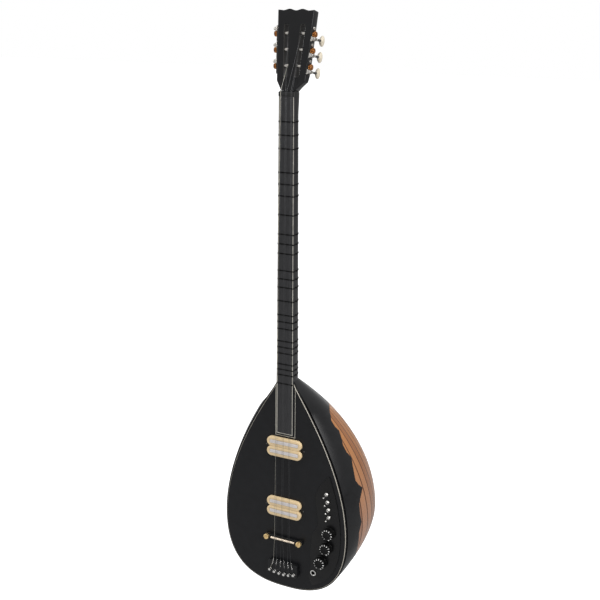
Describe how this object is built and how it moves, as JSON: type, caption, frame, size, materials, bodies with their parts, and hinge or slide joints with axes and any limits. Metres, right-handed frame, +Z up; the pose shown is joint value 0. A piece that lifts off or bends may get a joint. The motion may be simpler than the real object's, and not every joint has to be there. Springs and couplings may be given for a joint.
{
  "type": "electric long-necked lute",
  "caption": "Electric long-necked bowl lute: deep staved bowl, flat soundboard with blade pickups, controls and bridge, tied-fret neck, slotted head with geared tuners that turn.",
  "frame": {"origin": "on the centre line at the nut, in the plane of the soundboard's face and the neck's top", "axes": "+Z up the neck towards the headstock, -Y out of the soundboard towards the player's audience, +X to the right in the front view"},
  "size_m": [0.3048, 0.2395, 1.1364],
  "materials": {
    "black_lacquer": "gloss black lacquer on wood",
    "stave_wood": "varnished staves",
    "fingerboard_wood": "satin charcoal wood",
    "black_nut": "satin black",
    "cream_binding": "cream plastic strip",
    "black_plastic": "moulded black",
    "black_painted_metal": "satin black paint",
    "cream_bobbin": "cream moulding",
    "pickup_blade": "satin",
    "gold_plate": "gold plated",
    "copper_gear": "copper coloured",
    "nickel_plate": "nickel plated",
    "chrome": "polished",
    "steel": "bright",
    "pearl_button": "cream pearl"
  },
  "bodies": {
    "lute": {"bowl": "stave_wood", "bridge_beam": "black_painted_metal", "bridge_pickup": "cream_bobbin", "bridge_pickup_lower_blade": "pickup_blade", "bridge_pickup_upper_blade": "pickup_blade", "bridge_post_left": "gold_plate", "bridge_post_right": "gold_plate", "bridge_saddle_rod": "gold_plate", "control_plate": "black_plastic", "fingerboard": "fingerboard_wood", "headstock": "black_lacquer", "neck": "black_lacquer", "neck_pickup": "cream_bobbin", "neck_pickup_lower_blade": "pickup_blade", "neck_pickup_upper_blade": "pickup_blade", "nut": "black_nut", "output_jack": "chrome", "pot_1": "steel", "pot_2": "steel", "pot_3": "steel", "soundboard": "black_lacquer", "soundboard_binding": "cream_binding", "string_1": "steel", "string_2": "steel", "string_3": "steel", "string_4": "steel", "string_5": "steel", "string_6": "steel", "switch_1_body": "chrome", "switch_2_body": "chrome", "switch_3_body": "chrome", "switch_4_body": "chrome", "tailpiece": "black_painted_metal", "tuner_plate_left": "nickel_plate", "tuner_plate_right": "nickel_plate"},
    "key_left_1": {"worm_left_1": "steel", "tuner_button_left_1": "pearl_button"},
    "roller_left_1": {"string_roller_left_1": "copper_gear"},
    "key_left_2": {"worm_left_2": "steel", "tuner_button_left_2": "pearl_button"},
    "roller_left_2": {"string_roller_left_2": "copper_gear"},
    "key_left_3": {"worm_left_3": "steel", "tuner_button_left_3": "pearl_button"},
    "roller_left_3": {"string_roller_left_3": "copper_gear"},
    "key_right_1": {"worm_right_1": "steel", "tuner_button_right_1": "pearl_button"},
    "roller_right_1": {"string_roller_right_1": "copper_gear"},
    "key_right_2": {"worm_right_2": "steel", "tuner_button_right_2": "pearl_button"},
    "roller_right_2": {"string_roller_right_2": "copper_gear"},
    "key_right_3": {"worm_right_3": "steel", "tuner_button_right_3": "pearl_button"},
    "roller_right_3": {"string_roller_right_3": "copper_gear"},
    "knob_1": {"knob_1": "black_plastic"},
    "knob_2": {"knob_2": "black_plastic"},
    "knob_3": {"knob_3": "black_plastic"},
    "lever_1": {"switch_1_lever": "chrome"},
    "lever_2": {"switch_2_lever": "chrome"},
    "lever_3": {"switch_3_lever": "chrome"},
    "lever_4": {"switch_4_lever": "chrome"}
  },
  "joints": [
    {"name": "key_turn_left_1", "type": "hinge", "parent": "lute", "child": "key_left_1", "pos_m": [-0.03617, 0.02284, 0.05523], "axis": [0, -0.9893, 0.1461], "continuous": true},
    {"name": "roller_turn_left_1", "type": "hinge", "parent": "lute", "child": "roller_left_1", "pos_m": [-0.03039, 0.02171, 0.04755], "axis": [-0.9982, -0.0088, -0.0596], "continuous": true},
    {"name": "key_turn_left_2", "type": "hinge", "parent": "lute", "child": "key_left_2", "pos_m": [-0.03791, 0.02705, 0.08372], "axis": [0, -0.9893, 0.1461], "continuous": true},
    {"name": "roller_turn_left_2", "type": "hinge", "parent": "lute", "child": "roller_left_2", "pos_m": [-0.03213, 0.02591, 0.07604], "axis": [-0.9982, -0.0088, -0.0596], "continuous": true},
    {"name": "key_turn_left_3", "type": "hinge", "parent": "lute", "child": "key_left_3", "pos_m": [-0.03964, 0.03126, 0.11221], "axis": [0, -0.9893, 0.1461], "continuous": true},
    {"name": "roller_turn_left_3", "type": "hinge", "parent": "lute", "child": "roller_left_3", "pos_m": [-0.03386, 0.03012, 0.10453], "axis": [-0.9982, -0.0088, -0.0596], "continuous": true},
    {"name": "key_turn_right_1", "type": "hinge", "parent": "lute", "child": "key_right_1", "pos_m": [0.03519, 0.02048, 0.03923], "axis": [0, -0.9893, 0.1461], "continuous": true},
    {"name": "roller_turn_right_1", "type": "hinge", "parent": "lute", "child": "roller_right_1", "pos_m": [0.03039, 0.02171, 0.04755], "axis": [0.9982, -0.0088, -0.0596], "continuous": true},
    {"name": "key_turn_right_2", "type": "hinge", "parent": "lute", "child": "key_right_2", "pos_m": [0.03693, 0.02469, 0.06772], "axis": [0, -0.9893, 0.1461], "continuous": true},
    {"name": "roller_turn_right_2", "type": "hinge", "parent": "lute", "child": "roller_right_2", "pos_m": [0.03213, 0.02591, 0.07604], "axis": [0.9982, -0.0088, -0.0596], "continuous": true},
    {"name": "key_turn_right_3", "type": "hinge", "parent": "lute", "child": "key_right_3", "pos_m": [0.03867, 0.02889, 0.09622], "axis": [0, -0.9893, 0.1461], "continuous": true},
    {"name": "roller_turn_right_3", "type": "hinge", "parent": "lute", "child": "roller_right_3", "pos_m": [0.03386, 0.03012, 0.10453], "axis": [0.9982, -0.0088, -0.0596], "continuous": true},
    {"name": "knob_turn_1", "type": "hinge", "parent": "lute", "child": "knob_1", "pos_m": [0.10036, 0, -0.8425], "axis": [0, -1, 0], "range_deg": [-150, 150]},
    {"name": "knob_turn_2", "type": "hinge", "parent": "lute", "child": "knob_2", "pos_m": [0.09608, 0, -0.87533], "axis": [0, -1, 0], "range_deg": [-150, 150]},
    {"name": "knob_turn_3", "type": "hinge", "parent": "lute", "child": "knob_3", "pos_m": [0.08406, 0, -0.90901], "axis": [0, -1, 0], "range_deg": [-150, 150]},
    {"name": "lever_flip_1", "type": "hinge", "parent": "lute", "child": "lever_1", "pos_m": [0.09372, -0.0063, -0.76108], "axis": [1, 0, 0], "range_deg": [-24, 0]},
    {"name": "lever_flip_2", "type": "hinge", "parent": "lute", "child": "lever_2", "pos_m": [0.09632, -0.0063, -0.777], "axis": [1, 0, 0], "range_deg": [-24, 0]},
    {"name": "lever_flip_3", "type": "hinge", "parent": "lute", "child": "lever_3", "pos_m": [0.09828, -0.0063, -0.79312], "axis": [1, 0, 0], "range_deg": [-24, 0]},
    {"name": "lever_flip_4", "type": "hinge", "parent": "lute", "child": "lever_4", "pos_m": [0.09943, -0.0063, -0.80882], "axis": [1, 0, 0], "range_deg": [-24, 0]}
  ],
  "couplings": [
    {"joint": "roller_turn_left_1", "follows": "key_turn_left_1", "ratio": 0.071429},
    {"joint": "roller_turn_left_2", "follows": "key_turn_left_2", "ratio": 0.071429},
    {"joint": "roller_turn_left_3", "follows": "key_turn_left_3", "ratio": 0.071429},
    {"joint": "roller_turn_right_1", "follows": "key_turn_right_1", "ratio": 0.071429},
    {"joint": "roller_turn_right_2", "follows": "key_turn_right_2", "ratio": 0.071429},
    {"joint": "roller_turn_right_3", "follows": "key_turn_right_3", "ratio": 0.071429}
  ]
}
